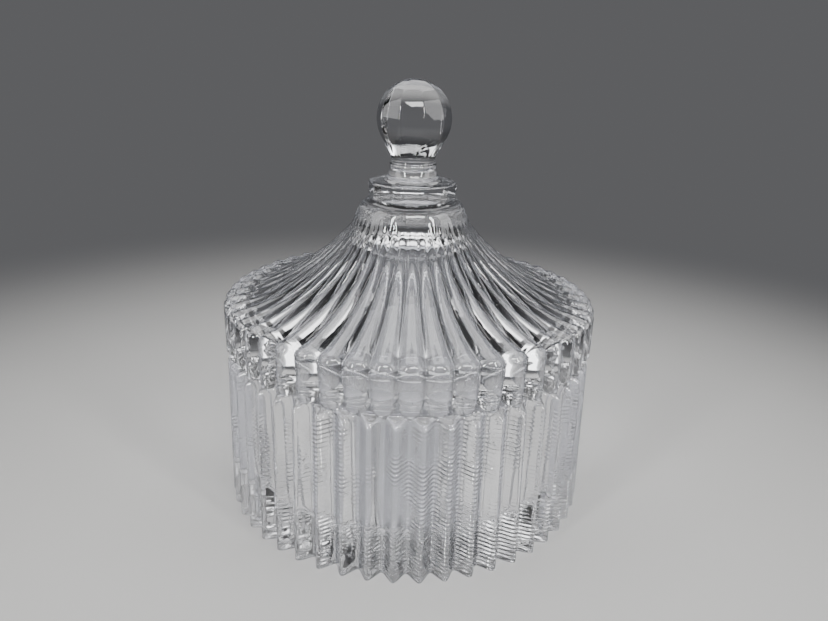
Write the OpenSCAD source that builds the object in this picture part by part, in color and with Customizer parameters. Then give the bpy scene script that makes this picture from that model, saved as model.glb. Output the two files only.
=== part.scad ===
// Lidded candle jar in clear pressed glass, shaped like a round tent.
// A tub with pointed ribs and a thick floor, and a lid with a concave ribbed roof, a scalloped
// skirt, a ten-sided collar and a ball knob. Millimetres, +Z up. The origin is the centre of the
// foot.

/* [Ribs] */
// Number of ribs round the jar and round the lid
rib_count = 50; // [44:1:56]
// Depth of the jar's ribs, from crest to valley
rib_depth = 3.3; // [2.4:0.1:3.4]
// How pointed the jar's ribs are: low for a soft wave, high for sharp crests
rib_point = 0.75; // [0.3:0.05:0.95]
// How full the lobes of the skirt are at the roof: the lobe radius over half their spacing
skirt_fill = 1.22; // [1.12:0.02:1.5]
// How full the ribs of the roof are
roof_fill = 1.14; // [1.1:0.02:1.3]

/* [Jar] */
// Diameter over the ribs at the foot
jar_d = 100; // [99.5:0.5:104]
// Height of the rim that the lid rests on
rim_h = 43.5; // [36:0.5:60]
// Thickness of the floor
floor_t = 9; // [5:0.5:14]
// Diameter of the straight inside
bore_d = 87; // [84:0.5:87.5]
// How much the ribs lean in towards the rim, in degrees
draft = 1.1; // [0:0.1:1.2]
// Distance from the rounded tops of the ribs to the rim
rim_band = 1; // [0.6:0.1:6]

/* [Lid] */
// Diameter over the lobes of the skirt
lid_d = 99; // [98:0.5:100]
// Height from the rim to the centre of the rounded edge between the skirt and the roof
skirt_h = 10.9; // [9.1:0.2:14.1]
// Distance from the rim to the lower ends of the skirt's lobes
skirt_gap = 0.3; // [0.2:0.1:2]
// Height of the scallops along the skirt's lower edge
scallop = 2.3; // [0.5:0.1:2.8]
// Rounding between the skirt and the roof
corner_r = 2.4; // [1.5:0.1:2.8]
// Radius of the roof's concave curve, along the crests of the ribs
roof_r = 50.5; // [49:0.1:52]
// Slope of the roof where it meets the skirt, in degrees
edge_slope = 9; // [8:1:11]
// Slope of the roof under the shoulder, in degrees
shoulder_slope = 52; // [50:1:54]
// Thickness of the roof, from the crests of the ribs to the hollow
roof_t = 4.8; // [4:0.1:5.6]
// Depth of the locating ring inside the jar
ring_h = 3.5; // [2:0.5:6]
// Gap between the locating ring and the jar's inside, all round
ring_gap = 0.5; // [0.3:0.1:1]
// Thickness of the locating ring
ring_t = 2.5; // [2:0.5:4]

/* [Knob] */
// Number of facets on the collar and the knob
facet_count = 10; // [8:1:12]
// Turn of the facets from the ribs, in degrees
facet_turn = -5.7; // [-18:0.1:18]
// Height of the smooth shoulder between the roof's ribs and the collar
shoulder_h = 6.6; // [6:0.1:8]
// Diameter of the collar across its corners
collar_d = 23; // [22:0.2:25]
// Diameter of the ball knob across its corners
ball_d = 19.2; // [17:0.2:20.4]
// Diameter of the neck under the ball
neck_d = 11.4; // [9:0.2:12]

/* [Hidden] */
ROUND = 120;                  // sides of a smooth circle
BORE_ROUND = 100;             // sides of the jar's inside
LOBE = [-0.6, 0, 0.6, 1];     // where the points across a rib or a lobe lie, in half pitches
VALLEY = 0.4;                 // least height of the skirt's valleys over the lobe centres
END_STEPS = 2;                // steps round a rib's rounded end
EDGE_STEPS = 3;               // steps round the roof's outer edge
ROOF_STEPS = 6;               // steps along the roof
FADE = [1.5, 2.5];            // fullness at its last two steps, where its ribs fade
BORE_STEPS = 4;               // steps round the inside corner of the floor
OVER = 1;                     // how far a cut reaches past a face

pitch = 360 / rib_count;      // angle from one rib to the next
foot_round = 0.9;             // rounding of the ribs at the foot
pad_r = 43;                   // round face that the jar stands on
pad_h = 0.15;                 // how far the ribs stay off the table
rib_end = 2.4;                // height over which the jar's ribs round off at the top
floor_round = 4;              // rounding between the floor and the inside wall
rib_top = rim_h - rim_band;
bore_r = bore_d / 2;

hem_fill = 1.012;             // fullness of the lobes at the skirt's lower edge
hem_c = centre_radius(lid_d / 2, hem_fill, 0);
hem_rib = lid_d / 2 - hem_c;
hem_z = rim_h + skirt_gap;
hem_round = 0.5;              // rounding along that edge
corner_x = lid_d / 2 - corner_r;
corner_z = rim_h + skirt_h;
roof_x = corner_x + (roof_r + corner_r) * sin(edge_slope); // centre of the roof's curve
roof_z = corner_z + (roof_r + corner_r) * cos(edge_slope);
hollow_r = roof_r + roof_t;   // radius of the roof's inner face, about that centre
hollow_h = 3.5;               // rise of the hollow under the shoulder
shoulder_r = roof_x - roof_r * sin(shoulder_slope);
shoulder_z = roof_z - roof_r * cos(shoulder_slope);
shoulder_round = 4.4;         // rounding of the shoulder
crown_r = shoulder_r - 5.6;   // radius to the centre of that rounding

collar_z = shoulder_z + shoulder_h;
collar_h = 4.3;
collar_top = collar_z + collar_h;
cove_r = 3.5;                 // hollow curve from the collar up to the neck
cove_in = 2;                  // how far it starts inside the collar's corners
neck_h = 6.3;                 // from the collar to the foot of the ball
neck_z = collar_top + neck_h;
ball_r = ball_d / 2;
ball_z = neck_z + 9.3;        // centre of the ball
sink = 0.2;                   // how deep pieces of one casting sit in each other
ring_round = 1;               // chamfer at the foot of the locating ring

// Radius of the circle through the centres of ribs of a fullness, with crests on the radius tip,
// where the outward normal is tilt degrees from level
function centre_radius(tip, fill, tilt) = tip / (1 + fill * sin(pitch / 2) * cos(tilt));

// Angles from one value to another, both included
function steps(from, to, n) = [for (k = [0:n]) from + (to - from) * k / n];

// Points on an arc about x, z
function arc(x, z, r, from, to, n) =
  [for (a = steps(from, to, n)) [x + r * cos(a), z + r * sin(a)]];

// One ring of the jar's pointed ribs, with their crests on the radius tip
function pointed(tip, z, depth) =
  [for (i = [0:rib_count - 1], c = LOBE)
    let (a = (i + c / 2) * pitch, wave = asin(rib_point * cos(180 * c)) / asin(rib_point),
         r = tip - depth * (1 - wave) / 2)
    [r * cos(a), r * sin(a), z]];

// Height of round ribs over their centres at the angle a from a rib's own plane. r: radius of the
// centres, rib: radius of the ribs
function lift(r, tilt, rib, a) =
  let (n = cos(tilt), t = tan(a), q = 1 + n * n * t * t, half_b = r * n * t * t,
       under = half_b * half_b - q * (r * r * t * t - rib * rib))
  max(VALLEY - r * (1 - cos(a)), (sqrt(max(0, under)) - half_b) / q);

// One ring of round ribs about the centre radius r, at the height z. rise: how far the valleys
// sit above the crests
function rounded(r, z, tilt, rib, rise = 0) =
  [for (i = [0:rib_count - 1], c = LOBE)
    let (a = c * pitch / 2, around = (i + 0.5) * pitch + a, h = lift(r, tilt, rib, a),
         x = (r + h * cos(tilt)) / cos(a))
    [x * cos(around), x * sin(around), z + h * sin(tilt) + rise * (1 - sqrt(1 - c * c))]];

// One ring of round ribs of a fullness, with their crests on the radius tip at the height z
function lobed(tip, z, tilt, fill, rise = 0) =
  let (r = centre_radius(tip, fill, tilt), rib = fill * sin(pitch / 2) * r)
  rounded(r, z - rib * sin(tilt), tilt, rib, rise);

// A solid whose skin runs through the rings, lowest first
module drum(rings) {
  n = len(rings[0]);
  last = (len(rings) - 1) * n;
  points = [for (ring = rings, p = ring) p];
  sides = [for (k = [0:len(rings) - 2], j = [0:n - 1])
    let (low = k * n, high = low + n, m = (j + 1) % n)
    each [[low + j, high + j, high + m], [low + j, high + m, low + m]]];
  caps = [[for (j = [0:n - 1]) j], [for (j = [n - 1:-1:0]) last + j]];
  polyhedron(points, faces = concat(sides, caps), convexity = 8);
}

// Radius of the jar's crests at the height z
function jar_tip(z) = jar_d / 2 - z * tan(draft);

module jar() {
  foot = [for (a = steps(0, 90, END_STEPS))
    let (z = pad_h + foot_round * (1 - cos(a)))
    pointed(jar_tip(z) - foot_round * (1 - sin(a)), z, rib_depth)];
  tops = [for (a = steps(0, 90, END_STEPS))
    let (z = rib_top - rib_end * (1 - sin(a)), depth = max(rib_depth * cos(a), sink / 2))
    pointed(jar_tip(z) - rib_depth + depth, z, depth)];
  rim = pointed(jar_tip(rim_h) - rib_depth + sink / 2, rim_h, sink / 2);
  color("lightcyan") difference() {
    drum(concat([pointed(pad_r, 0, 0)], foot, tops, [rim]));
    rotate_extrude($fn = BORE_ROUND) polygon(concat(
      [[0, floor_t]],
      arc(bore_r - floor_round, floor_t + floor_round, floor_round, -90, 0, BORE_STEPS),
      [[bore_r, rim_h + OVER], [0, rim_h + OVER]]));
  }
}

// Skirt with scalloped lower edge, and the ribbed roof up to the shoulder
module lid_shell() {
  hem = [rounded(hem_c, hem_z, 0, hem_rib - hem_round, scallop),
    rounded(hem_c, hem_z + hem_round, 0, hem_rib, scallop)];
  low = hem_z + hem_round;
  skirt = [for (k = [0.25, 0.5, 0.75])
    lobed(lid_d / 2, low + (corner_z - low) * k, 0, hem_fill + (skirt_fill - hem_fill) * k,
      scallop * (1 - k) * (1 - k))];
  edge = [for (a = steps(0, 90 - edge_slope, EDGE_STEPS))
    lobed(corner_x + corner_r * cos(a), corner_z + corner_r * sin(a), a, skirt_fill)];
  roof = [for (k = [1:ROOF_STEPS])
    let (s = edge_slope + (shoulder_slope - edge_slope) * k / ROOF_STEPS,
         faded = k - ROOF_STEPS + len(FADE) - 1)
    lobed(roof_x - roof_r * sin(s), roof_z - roof_r * cos(s), 90 - s,
      faded < 0 ? roof_fill : FADE[faded])];
  drum(concat([rounded(hem_c, rim_h, 0, 0)], hem, skirt, edge, roof));
}

// Smooth shoulder, cove and neck ring. Its lowest edge starts inside the glass of the roof,
// so that it grows out of the ribs where they fade.
module lid_crown() {
  out = [sin(shoulder_slope), cos(shoulder_slope)];
  down = [out[1], -out[0]];
  crest = [shoulder_r, shoulder_z];
  root = crest + 1.5 * down - out;
  cove_x = collar_d / 2 - cove_in;
  cove_z = collar_top + cove_r;
  rotate_extrude($fn = ROUND) polygon(concat(
    [[0, root[1] - OVER], [root[0], root[1] - OVER], root, crest + 0.12 * out],
    arc(crown_r, collar_z - shoulder_round, shoulder_round, 8, 80, 6),
    [[crown_r, collar_z + OVER], [cove_x, collar_top - sink]],
    arc(cove_x, cove_z, cove_r, 255, 180, 4),
    [[cove_x - cove_r, cove_z + 0.9], [neck_d / 2, cove_z + 1.2],
     [neck_d / 2, neck_z], [0, neck_z]]));
}

// Ten-sided collar and ball
module lid_knob() {
  stem_r = neck_d / 2 - sink;
  reach = norm([stem_r, ball_z - neck_z]);
  low = atan2(neck_z - ball_z, stem_r) + acos(ball_r / reach); // where the taper ends
  rotate([0, 0, facet_turn]) {
    translate([0, 0, collar_z]) cylinder(h = collar_h, d = collar_d, $fn = facet_count);
    rotate_extrude($fn = facet_count) polygon(concat(
      [[0, neck_z - OVER], [stem_r - sink, neck_z - OVER], [stem_r, neck_z]],
      arc(0, ball_z, ball_r, low, 90, 9)));
  }
}

// The hollow of the lid, through the locating ring and up under the roof
module lid_hollow() {
  edge = asin((roof_x - bore_r) / hollow_r);
  top = shoulder_slope - 4;
  roof = [for (s = steps(edge, top, 10)) [roof_x - hollow_r * sin(s), roof_z - hollow_r * cos(s)]];
  end = roof[len(roof) - 1];
  inner = bore_r - ring_gap - ring_t;
  rotate_extrude($fn = ROUND) polygon(concat(
    [[0, rim_h - ring_h - OVER], [inner, rim_h - ring_h - OVER], [inner, rim_h - 0.5],
     [bore_r, rim_h + 2.5]], roof,
    [[end[0] * 0.7, end[1] + hollow_h * 0.65], [end[0] * 0.35, end[1] + hollow_h * 0.9],
     [0, end[1] + hollow_h]]));
}

// The ring that drops into the jar's mouth and centres the lid, before it is hollowed
module lid_ring() {
  outer = bore_r - ring_gap;
  foot_z = rim_h - ring_h;
  rotate_extrude($fn = ROUND) polygon([[0, foot_z], [outer - ring_round, foot_z],
    [outer, foot_z + ring_round], [outer, rim_h + OVER], [0, rim_h + OVER]]);
}

module lid() {
  color("azure") {
    difference() {
      union() {
        lid_shell();
        lid_crown();
        lid_ring();
      }
      lid_hollow();
    }
    lid_knob();
  }
}

jar();
lid();
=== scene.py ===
"""Lidded candle jar in clear pressed glass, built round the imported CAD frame. Metres, +Z up."""
import math

import bpy
import numpy as np
from mathutils import Matrix, Vector


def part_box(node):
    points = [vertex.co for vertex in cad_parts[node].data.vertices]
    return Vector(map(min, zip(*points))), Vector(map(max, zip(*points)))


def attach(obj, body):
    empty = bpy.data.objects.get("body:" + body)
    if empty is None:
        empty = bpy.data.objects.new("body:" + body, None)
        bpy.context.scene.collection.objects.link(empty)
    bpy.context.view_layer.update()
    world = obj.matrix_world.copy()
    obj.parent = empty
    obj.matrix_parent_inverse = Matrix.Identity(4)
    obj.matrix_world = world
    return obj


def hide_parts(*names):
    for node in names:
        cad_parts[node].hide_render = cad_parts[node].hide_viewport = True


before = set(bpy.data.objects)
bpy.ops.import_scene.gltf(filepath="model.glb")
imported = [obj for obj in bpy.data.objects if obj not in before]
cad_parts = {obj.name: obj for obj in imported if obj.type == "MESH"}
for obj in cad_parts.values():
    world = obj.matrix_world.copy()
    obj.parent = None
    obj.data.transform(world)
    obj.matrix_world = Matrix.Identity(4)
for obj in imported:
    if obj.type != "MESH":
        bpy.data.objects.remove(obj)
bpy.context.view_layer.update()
MM = 0.001

# ---------------------------------------------------------------- driving dimensions
JAR_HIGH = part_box("jar")[1]
LID_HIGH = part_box("lid")[1]
JAR_R = JAR_HIGH.x              # over the ribs at the foot
RIM_Z = JAR_HIGH.z              # the lid rests here
LID_R = LID_HIGH.y              # over the lobes of the skirt
TOP_Z = LID_HIGH.z              # top of the ball knob

RIBS = 50
PITCH = 2 * math.pi / RIBS
ACROSS = 24                     # columns of mesh across one rib

# The jar
RIB_DEPTH = 3.3 * MM            # its pointed ribs
POINT = 0.75                    # 0: a soft wave; 1: sharp crests and valleys
DRAFT = math.radians(1.1)       # lean of the ribs
RIB_BAND = 1.0 * MM             # from the rib tops to the rim
RIB_END = 2.4 * MM              # height over which the ribs round off at the top
FOOT_ROUND = 0.9 * MM
PAD_R, PAD_H = 43 * MM, 0.15 * MM  # the face it stands on, and how far the ribs stay off the table
RIM_ROUND = 0.4 * MM
BORE_R = 43.5 * MM
FLOOR_T = 9.0 * MM
FLOOR_ROUND = 4.0 * MM          # between the floor and the inside wall

# The lid's skirt
LID_TURN = PITCH / 2            # turn of its first lobe from +X
SKIRT_H = 10.9 * MM             # rim to the centre of the edge between skirt and roof
SKIRT_GAP = 0.3 * MM
SKIRT_FILL = 1.22               # rib radius over half the spacing of the ribs
HEM_FILL = 1.012                # the same along the skirt's lower edge
HEM_ROUND = 0.5 * MM            # height of the rounding along that edge
SCALLOP = 2.3 * MM              # height of that edge's scallops
SEAT_R = 46.2 * MM              # outside of the level face that rests on the rim
SEAT_GAP = 0.06 * MM            # keeps the two glass faces at the seat apart
RING_H, RING_GAP, RING_T = 3.5 * MM, 0.5 * MM, 2.5 * MM  # the locating ring, inside the mouth
RING_ROUND = 0.8 * MM

# The lid's roof
CORNER_R = 2.4 * MM             # roof to skirt
ROOF_R = 50.5 * MM              # concave curve of the roof along the crests of the ribs
ROOF_FILL = 1.14
FADE_FILL = 2.5                 # where the roof's ribs fade under the shoulder
FADE_START = 0.66               # how far up the roof they start to fade
EDGE_SLOPE = math.radians(9)
SHOULDER_SLOPE = math.radians(52)
ROOF_T = 4.8 * MM               # from the crests to the hollow
HOLLOW_H = 3.5 * MM             # rise of the hollow under the shoulder
VALLEY = 0.4 * MM               # height of the valleys over the rib centres
FILLET = 0.35 * MM              # softness of the valleys between ribs

# The shoulder and the knob
SHOULDER_ROUND, SHOULDER_IN = 4.4 * MM, 5.6 * MM  # its radius, and its centre in from the roof
FACETS = 10
FACET_TURN = math.radians(-5.7)
KNOB_H = 29.5 * MM              # foot of the collar to the top of the ball
COLLAR_R = 11.5 * MM            # to the corners
COLLAR_H = 4.3 * MM
COLLAR_ROUND = 0.35 * MM
COVE_R, COVE_IN = 3.5 * MM, 2.0 * MM  # its radius, and its centre in from the collar's corners
NECK_R = 5.7 * MM
NECK_ROUND = 0.4 * MM
BALL_R = 9.6 * MM               # to the corners
BALL_DROP = 9.3 * MM            # from the ball's centre down to the neck

# The glass
TINT = (0.95, 0.954, 0.972)
SLANT_PAINTED_SHADE = (0.2, 0.21, 0.235)  # painted shade: part of the tint left where the glass slants away from the view
WAVE_DEPTH = 0.03 * MM
MARKS_PER_METRE = 900           # the mould's fine marks up the ribs
JAR_MARKS, LID_MARKS = 0.26 * MM, 0.004 * MM  # their depth

# The studio
BACKDROP = (0.115, 0.116, 0.121)
CEILING = (0.02, 0.02, 0.021)
FLOOR = (0.31, 0.307, 0.3)
LIGHT_AIM = (0, 0, 0.04)


def centre_radius(tip, fill, tilt=0.0):
    """Radius of the circle through the rib centres, for ribs whose tips lie on the radius tip."""
    return tip / (1 + fill * math.sin(PITCH / 2) * math.cos(tilt))


HEM_C = centre_radius(LID_R, HEM_FILL)
HEM_RIB = LID_R - HEM_C
CORNER_X = LID_R - CORNER_R
CORNER_Z = RIM_Z + SKIRT_H
ROOF_X = CORNER_X + (ROOF_R + CORNER_R) * math.sin(EDGE_SLOPE)  # centre of the roof's curve
ROOF_Z = CORNER_Z + (ROOF_R + CORNER_R) * math.cos(EDGE_SLOPE)
HOLLOW_R = ROOF_R + ROOF_T
HOLLOW_SLOPE = SHOULDER_SLOPE - math.radians(4)                 # where the hollow's curve ends
HOLLOW_X = ROOF_X - HOLLOW_R * math.sin(HOLLOW_SLOPE)
HOLLOW_Z = ROOF_Z - HOLLOW_R * math.cos(HOLLOW_SLOPE)
SHOULDER_X = ROOF_X - ROOF_R * math.sin(SHOULDER_SLOPE)
COLLAR_Z = TOP_Z - KNOB_H
BALL_Z = TOP_Z - BALL_R
NECK_Z = BALL_Z - BALL_DROP


# ---------------------------------------------------------------- rings of mesh
# Angles across one rib, closer together on its steep flanks; the last one is the valley
STEPS_ACROSS = np.sin(math.pi / 2 * (np.arange(1, ACROSS + 1) * 2 / ACROSS - 1)) * PITCH / 2


def smooth_max(a, b, width):
    """The larger of a and b, with the corner between them rounded over width."""
    near = np.clip(width - np.abs(a - b), 0, None)
    return np.maximum(a, b) + near * near / (4 * width)


def reeded(tip, z, depth):
    """One ring of the jar's pointed ribs, with their crests at the radius tip."""
    a = np.tile(STEPS_ACROSS, RIBS)
    wave = np.arcsin(POINT * np.cos(a * RIBS)) / math.asin(POINT)
    radius = tip - depth * (1 - wave) / 2
    around = np.repeat(np.arange(RIBS) * PITCH, ACROSS) + a
    return np.stack([radius * np.cos(around), radius * np.sin(around), np.full_like(around, z)], 1)


def tube_height(r, rib, level, a):
    """Height of a rib over the rib centres, at the angle a from the rib's own plane."""
    t = np.tan(a)
    q = 1 + level * level * t * t
    half_b = r * level * t * t
    under = half_b ** 2 - q * (r * r * t * t - rib * rib)
    beyond = 40 * np.clip(-under, 0, None) / MM  # past its side the rib drops away steeply
    return (np.sqrt(np.clip(under, 0, None)) - half_b) / q - beyond


def flatten(around):
    """Radius of a circle's flats over the radius of their corners, at the angles around."""
    k = np.arange(FACETS)[:, None]
    toward = np.cos(around[None] - FACET_TURN - (k + 0.5) * 2 * math.pi / FACETS)
    sharp = 90
    return math.cos(math.pi / FACETS) * (np.clip(toward, 0, None) ** sharp).sum(0) ** (-1 / sharp)


def ring(r, z, tilt=0.0, rib=0.0, facet=0.0, turn=0.0, rise=0.0):
    """One ring of points. r, z: the rib centres, or the surface where rib is None. tilt: the
    outward normal's angle from level. rib: radius of the ribs. facet: how much of the ten flats
    shows. rise: how far the valleys sit above the crests."""
    a = np.tile(STEPS_ACROSS, RIBS)
    around = turn + np.repeat(np.arange(RIBS) * PITCH, ACROSS) + a
    if rib is None:
        radius = np.full_like(around, r)
        height = np.full_like(around, z)
    else:
        level = math.cos(tilt)
        own = tube_height(r, rib, level, a)
        other = tube_height(r, rib, level, PITCH - np.abs(a))
        core = VALLEY - r * (1 - np.cos(a))
        h = smooth_max(smooth_max(own, other, FILLET), core, FILLET)
        radius = (r + h * level) / np.cos(a)
        across = 1.98 * a / PITCH           # 0 on the crest, just short of 1 in the valley
        height = z + h * math.sin(tilt) + rise * (1 - np.sqrt(1 - across ** 2))
    if facet:
        radius = radius * (1 - facet + facet * flatten(around))
    return np.stack([radius * np.cos(around), radius * np.sin(around), height], 1)


def lobed(tip, z, tilt, fill, rise=0.0):
    """A ring of the lid's ribs, whose crests pass through the radius tip at the height z."""
    r = centre_radius(tip, fill, tilt)
    rib = fill * math.sin(PITCH / 2) * r
    return ring(r, z - rib * math.sin(tilt), tilt=tilt, rib=rib, turn=LID_TURN, rise=rise)


def smooth(profile, turn=0.0, facet=0.0):
    """Rings without ribs through the points (radius, height) of a profile."""
    return [ring(r, z, rib=None, facet=facet, turn=turn) for r, z in profile]


def arc(x, z, r, start, end, n):
    """n + 1 points on an arc in the r-z plane, angles in degrees."""
    a = np.radians(np.linspace(start, end, n + 1))
    return [(x + r * math.cos(t), z + r * math.sin(t)) for t in a]


def closed_mesh(name, rings, low_pole, high_pole):
    """A closed mesh through the rings, with a point on the axis before the first and after the last."""
    n = RIBS * ACROSS
    points = np.concatenate([[low_pole], *rings, [high_pole]])
    j = np.arange(n)
    m = (j + 1) % n
    quads = []
    for k in range(len(rings) - 1):
        low, high = 1 + k * n, 1 + (k + 1) * n
        quads.append(np.stack([low + j, low + m, high + m, high + j], 1))
    quads = np.concatenate(quads)
    end = 1 + (len(rings) - 1) * n
    fans = np.concatenate([
        np.stack([np.zeros_like(j), 1 + m, 1 + j], 1),
        np.stack([np.full_like(j, len(points) - 1), end + j, end + m], 1)])
    mesh = bpy.data.meshes.new(name)
    mesh.vertices.add(len(points))
    mesh.vertices.foreach_set("co", points.ravel())
    corners = np.concatenate([quads.ravel(), fans.ravel()])
    sizes = np.concatenate([np.full(len(quads), 4), np.full(len(fans), 3)])
    mesh.loops.add(len(corners))
    mesh.loops.foreach_set("vertex_index", corners)
    mesh.polygons.add(len(sizes))
    mesh.polygons.foreach_set("loop_start", np.concatenate([[0], np.cumsum(sizes)[:-1]]))
    mesh.polygons.foreach_set("loop_total", sizes)
    mesh.update(calc_edges=True)
    mesh.validate()
    mesh.polygons.foreach_set("use_smooth", np.ones(len(sizes), bool))
    obj = bpy.data.objects.new(name, mesh)
    bpy.context.scene.collection.objects.link(obj)
    return obj


# ---------------------------------------------------------------- the jar
def jar_tip(z):
    """Radius of the jar's crests at the height z."""
    return JAR_R - z * math.tan(DRAFT)


def jar_glass():
    rings = smooth([(PAD_R * part, 0) for part in (0.25, 0.5, 0.75, 1)])
    for a in np.linspace(0, math.pi / 2, 7):
        z = PAD_H + FOOT_ROUND * (1 - math.cos(a))
        rings.append(reeded(jar_tip(z) - FOOT_ROUND * (1 - math.sin(a)), z, RIB_DEPTH))
    top = RIM_Z - RIB_BAND
    for z in np.linspace(PAD_H + FOOT_ROUND, top - RIB_END, 8)[1:-1]:
        rings.append(reeded(jar_tip(z), z, RIB_DEPTH))
    for a in np.linspace(0, math.pi / 2, 16):
        z = top - RIB_END * (1 - math.sin(a))
        depth = RIB_DEPTH * math.cos(a)
        rings.append(reeded(jar_tip(z) - RIB_DEPTH + depth, z, depth))
    rim_r = jar_tip(RIM_Z) - RIB_DEPTH
    wall_z = FLOOR_T + FLOOR_ROUND
    inside = arc(rim_r - RIM_ROUND, RIM_Z - RIM_ROUND, RIM_ROUND, 0, 90, 5)
    inside += arc(BORE_R + RIM_ROUND, RIM_Z - RIM_ROUND, RIM_ROUND, 90, 180, 5)
    inside += [(BORE_R, z) for z in np.linspace(RIM_Z - 1 * MM, wall_z, 8)]
    inside += arc(BORE_R - FLOOR_ROUND, wall_z, FLOOR_ROUND, 0, -90, 10)[1:]
    inside += [(BORE_R * part, FLOOR_T) for part in (0.8, 0.6, 0.4, 0.2)]
    return closed_mesh("jar_glass", rings + smooth(inside), (0, 0, 0), (0, 0, FLOOR_T))


# ---------------------------------------------------------------- the lid
def lid_hollow():
    """From the hollow's peak down its wall, round the locating ring and out along the seat."""
    outer = BORE_R - RING_GAP
    inner = outer - RING_T
    foot_z = RIM_Z - RING_H
    seat_z = RIM_Z + SEAT_GAP
    edge_slope = math.asin((ROOF_X - BORE_R) / HOLLOW_R)
    profile = [(HOLLOW_X * part, HOLLOW_Z + rise * MM) for part, rise in ((0.35, 3.2), (0.7, 2.2))]
    profile += [(ROOF_X - HOLLOW_R * math.sin(s), ROOF_Z - HOLLOW_R * math.cos(s))
                for s in np.linspace(HOLLOW_SLOPE, edge_slope, 14)]
    profile += [(BORE_R, RIM_Z + 2.5 * MM), (inner + 0.4 * MM, RIM_Z - 0.2 * MM)]
    profile.append((inner, RIM_Z - 0.8 * MM))
    profile += arc(inner + RING_ROUND, foot_z + RING_ROUND, RING_ROUND, 180, 270, 5)
    profile += arc(outer - RING_ROUND, foot_z + RING_ROUND, RING_ROUND, 270, 360, 5)
    profile += [(outer, seat_z - 0.3 * MM), (outer + 0.3 * MM, seat_z), (SEAT_R, seat_z)]
    return smooth(profile, LID_TURN)


def lid_skirt():
    """From the scalloped hem up to the rounded edge of the roof."""
    hem_z = RIM_Z + SKIRT_GAP
    rings = []
    for inset, z in ((1.6, 0.25), (0.9, 0.05), (0.5, 0), (0.2, 0.1), (0.05, 0.3), (0, 0.5)):
        rings.append(ring(HEM_C, hem_z + z * MM, rib=HEM_RIB - inset * MM, turn=LID_TURN, rise=SCALLOP))
    low = hem_z + HEM_ROUND
    for k in np.linspace(0, 1, 11)[1:-1]:
        fill = HEM_FILL + (SKIRT_FILL - HEM_FILL) * k
        rings.append(lobed(LID_R, low + (CORNER_Z - low) * k, 0, fill, rise=SCALLOP * (1 - k) ** 2))
    return rings


def lid_roof():
    """Over the rounded edge and up the concave roof to the shoulder."""
    rings = []
    for a in np.linspace(0, math.pi / 2 - EDGE_SLOPE, 12):
        rings.append(lobed(CORNER_X + CORNER_R * math.cos(a), CORNER_Z + CORNER_R * math.sin(a), a,
                           SKIRT_FILL))
    for k in np.linspace(0, 1, 32)[1:]:
        slope = EDGE_SLOPE + (SHOULDER_SLOPE - EDGE_SLOPE) * k
        fade = max(0, (k - FADE_START) / (1 - FADE_START)) ** 1.6
        fill = ROOF_FILL + (SKIRT_FILL - ROOF_FILL) * max(0, 1 - 8 * k) + (FADE_FILL - ROOF_FILL) * fade
        rings.append(lobed(ROOF_X - ROOF_R * math.sin(slope), ROOF_Z - ROOF_R * math.cos(slope),
                           math.pi / 2 - slope, fill))
    return rings


def lid_collar():
    """Smooth shoulder, ten-sided collar, cove and neck."""
    shoulder = arc(SHOULDER_X - SHOULDER_IN, COLLAR_Z - SHOULDER_ROUND, SHOULDER_ROUND, 8, 84, 12)
    corner_x = COLLAR_R - COLLAR_ROUND
    collar = [(corner_x - 0.4 * MM, COLLAR_Z)]
    collar += arc(corner_x, COLLAR_Z + COLLAR_ROUND, COLLAR_ROUND, 270, 360, 4)
    collar += arc(corner_x, COLLAR_Z + COLLAR_H - COLLAR_ROUND, COLLAR_ROUND, 0, 90, 4)
    cove_x, cove_z = COLLAR_R - COVE_IN, COLLAR_Z + COLLAR_H + COVE_R
    step_z = cove_z + 1.4 * MM
    neck = arc(cove_x, cove_z, COVE_R, 262, 180, 9)
    neck += arc(cove_x - COVE_R - NECK_ROUND, cove_z + 0.6 * MM, NECK_ROUND, 0, 90, 4)
    neck += arc(NECK_R + NECK_ROUND, step_z, NECK_ROUND, 270, 180, 4)
    neck += [(NECK_R - 0.05 * MM, (step_z + NECK_Z) / 2), (NECK_R, NECK_Z)]
    return smooth(shoulder, LID_TURN) + smooth(collar, LID_TURN, facet=1.0) + smooth(neck, LID_TURN)


def lid_ball():
    """Tapered foot of the ball, which turns into its curve, and the ball."""
    reach = math.hypot(NECK_R, BALL_Z - NECK_Z)
    low = math.degrees(math.atan2(NECK_Z - BALL_Z, NECK_R) + math.acos(BALL_R / reach))
    ball = arc(0, BALL_Z, BALL_R, low, 90, 24)
    start_x, start_z = ball[0]
    taper = [(NECK_R + (start_x - NECK_R) * k, NECK_Z + (start_z - NECK_Z) * k)
             for k in (0.12, 0.3, 0.5, 0.75)]
    return [ring(r, z, rib=None, facet=0.9 * min(1, (k + 1) / 4), turn=LID_TURN)
            for k, (r, z) in enumerate(taper + ball[:-1])]


def lid_glass():
    rings = lid_hollow() + lid_skirt() + lid_roof() + lid_collar() + lid_ball()
    return closed_mesh("lid_glass", rings, (0, 0, HOLLOW_Z + HOLLOW_H), (0, 0, TOP_Z))


# ---------------------------------------------------------------- materials
def add_node(tree, kind, settings=None, **values):
    """A new shader node. settings: its own properties. values: its inputs, as numbers or sockets."""
    made = tree.nodes.new("ShaderNode" + kind)
    for name, value in (settings or {}).items():
        setattr(made, name, value)
    for name, value in values.items():
        socket = made.inputs[name.replace("_", " ")]
        if isinstance(value, bpy.types.NodeSocket):
            tree.links.new(value, socket)
        else:
            socket.default_value = value
    return made


def product(tree, a, b):
    times = add_node(tree, "Math", {"operation": "MULTIPLY"})
    tree.links.new(a, times.inputs[0])
    tree.links.new(b, times.inputs[1])
    return times.outputs[0]


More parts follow.
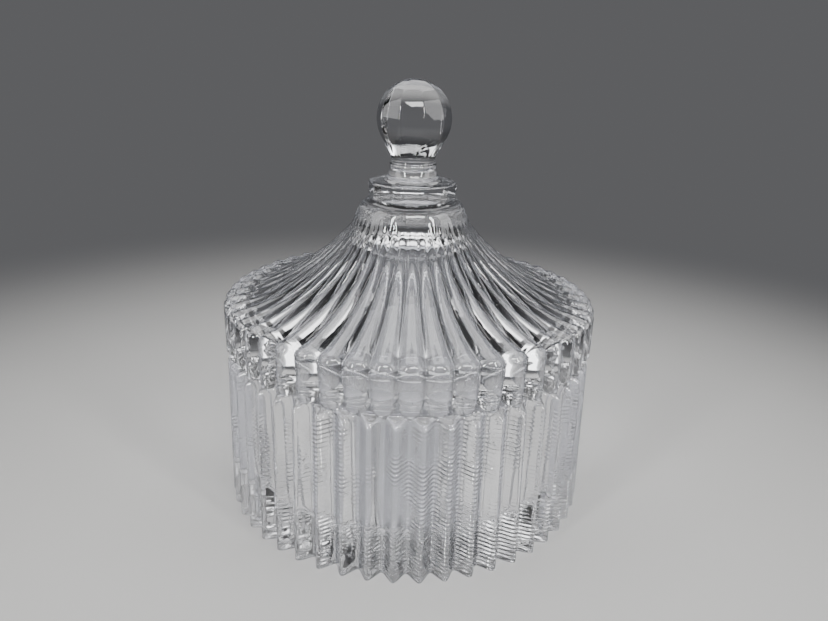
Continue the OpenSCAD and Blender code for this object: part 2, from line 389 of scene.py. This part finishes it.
def ramp(tree, fac, low, low_colour, high, high_colour):
    """A colour that goes from low_colour to high_colour as fac goes from low to high."""
    made = add_node(tree, "ValToRGB", Fac=fac)
    ends = made.color_ramp.elements
    ends[0].position, ends[1].position = low, high
    ends[0].color = (*low_colour, 1)
    ends[1].color = (*high_colour, 1)
    return made.outputs["Color"]


def mixed(tree, fac, first, second):
    mix = add_node(tree, "MixShader", Fac=fac)
    tree.links.new(first.outputs[0], mix.inputs[1])
    tree.links.new(second.outputs[0], mix.inputs[2])
    return mix.outputs[0]


def mould_marks(tree, place):
    """Height of the mould's fine level marks, which lie in patches on the ribs, not in the bore."""
    parts = add_node(tree, "SeparateXYZ", Vector=place)
    level = add_node(tree, "CombineXYZ", X=parts.outputs["X"], Y=parts.outputs["Y"])
    radius = add_node(tree, "VectorMath", {"operation": "LENGTH"}, Vector=level.outputs[0])
    outside = add_node(tree, "MapRange", Value=radius.outputs["Value"], From_Min=BORE_R + 1.5 * MM,
                       From_Max=BORE_R + 3 * MM)
    marks = add_node(tree, "TexWave", {"wave_type": "BANDS", "bands_direction": "Z"}, Vector=place,
                     Scale=MARKS_PER_METRE * math.pi / 10, Distortion=0.6, Detail=1.0)
    patches = add_node(tree, "TexNoise", Vector=place, Scale=60)
    patchy = add_node(tree, "MapRange", Value=patches.outputs["Fac"], From_Min=0.45, From_Max=0.62)
    where = product(tree, patchy.outputs["Result"], outside.outputs["Result"])
    return product(tree, marks.outputs["Fac"], where)


def glass_material(name, mark_depth):
    """Clear pressed glass, softly wavy, with mould marks, with painted shade where it slants away from
    the view.
    Light passes through it to what it shades, dimmed where it slants."""
    mat = bpy.data.materials.new(name)
    mat.use_nodes = True
    tree = mat.node_tree
    tree.nodes.clear()
    place = add_node(tree, "TexCoord").outputs["Object"]
    waves = add_node(tree, "TexNoise", Vector=place, Scale=160, Detail=2.0)
    soft = add_node(tree, "Bump", Strength=1.0, Distance=WAVE_DEPTH, Height=waves.outputs["Fac"])
    marked = add_node(tree, "Bump", Strength=1.0, Distance=mark_depth, Height=mould_marks(tree, place),
                      Normal=soft.outputs["Normal"])
    normal = marked.outputs["Normal"]
    # Painted shade: the glass's colour darkens where it slants away from the view, for dark edges on the
    # ribs.
    slant = add_node(tree, "LayerWeight", Blend=0.5, Normal=normal)
    dark = [part * tint for part, tint in zip(SLANT_PAINTED_SHADE, TINT)]
    colour = ramp(tree, slant.outputs["Facing"], 0.25, TINT, 0.75, dark)
    glass = add_node(tree, "BsdfPrincipled", Base_Color=colour, Transmission_Weight=1.0, IOR=1.52,
                     Roughness=0.0, Normal=normal)
    steep = add_node(tree, "LayerWeight").outputs["Facing"]
    shade = ramp(tree, steep, 0.25, (0.95, 0.95, 0.96), 0.8, (0.25, 0.255, 0.27))
    clear = add_node(tree, "BsdfTransparent", Color=shade)
    shadow_ray = add_node(tree, "LightPath").outputs["Is Shadow Ray"]
    add_node(tree, "OutputMaterial", Surface=mixed(tree, shadow_ray, glass, clear))
    return mat


def floor_material():
    """Plain and pale, fading into the grey of the backdrop away from the jar."""
    mat = bpy.data.materials.new("floor_paint")
    mat.use_nodes = True
    tree = mat.node_tree
    paint = tree.nodes["Principled BSDF"]
    paint.inputs["Base Color"].default_value = (*FLOOR, 1)
    paint.inputs["Roughness"].default_value = 0.6
    backdrop = add_node(tree, "Emission", Color=(*BACKDROP, 1))
    place = add_node(tree, "TexCoord").outputs["Object"]
    away = add_node(tree, "VectorMath", {"operation": "LENGTH"}, Vector=place)
    fade = add_node(tree, "MapRange", {"interpolation_type": "SMOOTHERSTEP"},
                    Value=away.outputs["Value"], From_Min=0.06, From_Max=0.34)
    tree.links.new(mixed(tree, fade.outputs["Result"], paint, backdrop),
                   tree.nodes["Material Output"].inputs["Surface"])
    return mat


# ---------------------------------------------------------------- camera, floor and light
def camera():
    """At the viewing angle of the reference, aimed slightly down at the jar."""
    back, up = 181.3474 * MM, 117.2262 * MM  # level distance from the jar's axis, and height
    pitch, roll, yaw = math.radians(20.17), 0.02912, 0.00739
    forward = Vector((math.sin(yaw) * math.cos(pitch), math.cos(yaw) * math.cos(pitch), -math.sin(pitch)))
    level = Vector((math.cos(yaw), -math.sin(yaw), 0))
    upright = level.cross(forward)
    x_axis = math.cos(roll) * level + math.sin(roll) * upright
    y_axis = -math.sin(roll) * level + math.cos(roll) * upright
    data = bpy.data.cameras.new("camera")
    data.sensor_width = 36
    data.lens = 30.33
    data.clip_start = 0.01
    obj = bpy.data.objects.new("camera", data)
    bpy.context.scene.collection.objects.link(obj)
    place = Matrix((
        (x_axis.x, y_axis.x, -forward.x, 0), (x_axis.y, y_axis.y, -forward.y, -back),
        (x_axis.z, y_axis.z, -forward.z, up), (0, 0, 0, 1)))
    obj.matrix_world = Matrix.Rotation(math.radians(-1.1), 4, "Z") @ place
    bpy.context.scene.camera = obj


def area_light(name, place, size, watts):
    data = bpy.data.lights.new(name, "AREA")
    data.shape = "RECTANGLE"
    data.size, data.size_y = size
    data.energy = watts
    obj = bpy.data.objects.new(name, data)
    bpy.context.scene.collection.objects.link(obj)
    obj.location = place
    obj.rotation_euler = (Vector(LIGHT_AIM) - Vector(place)).to_track_quat("-Z", "Y").to_euler()


def add_floor():
    mesh = bpy.data.meshes.new("floor")
    half = 1.5
    mesh.from_pydata([(-half, -half, 0), (half, -half, 0), (half, half, 0), (-half, half, 0)], [],
                     [(0, 1, 2, 3)])
    floor = bpy.data.objects.new("floor", mesh)
    bpy.context.scene.collection.objects.link(floor)
    floor.location.z = -0.15 * MM
    mesh.materials.append(floor_material())


def add_world():
    """Grey round about, dark overhead."""
    made = bpy.data.worlds.new("world")
    bpy.context.scene.world = made
    made.use_nodes = True
    tree = made.node_tree
    parts = add_node(tree, "SeparateXYZ", Vector=add_node(tree, "TexCoord").outputs["Generated"])
    tree.links.new(ramp(tree, parts.outputs["Z"], 0.12, BACKDROP, 0.5, CEILING),
                   tree.nodes["Background"].inputs["Color"])


def studio():
    add_floor()
    add_world()
    area_light("overhead", (0, 0.22, 0.5), (0.5, 0.45), 2.2)
    area_light("left_box", (-0.5, -0.1, 0.3), (0.25, 0.45), 1.3)
    area_light("right_box", (0.5, -0.15, 0.3), (0.25, 0.45), 1.5)
    area_light("front_box", (0.06, -0.4, 0.5), (0.34, 0.14), 3.6)
    area_light("left_strip", (-0.35, -0.4, 0.28), (0.05, 0.35), 3.2)
    area_light("right_strip", (0.38, -0.4, 0.3), (0.05, 0.35), 3.2)


camera()
studio()
jar = jar_glass()
lid = lid_glass()
for piece, node, body, slot, marks in ((jar, "jar", "tub", "jar_glass", JAR_MARKS),
                                       (lid, "lid", "cover", "lid_glass", LID_MARKS)):
    piece.data.materials.append(glass_material(slot, marks))
    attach(piece, body)
    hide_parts(node)
scene = bpy.context.scene
scene.cycles.max_bounces = 24
scene.cycles.transmission_bounces = 24
scene.cycles.glossy_bounces = 8
scene.cycles.transparent_max_bounces = 16
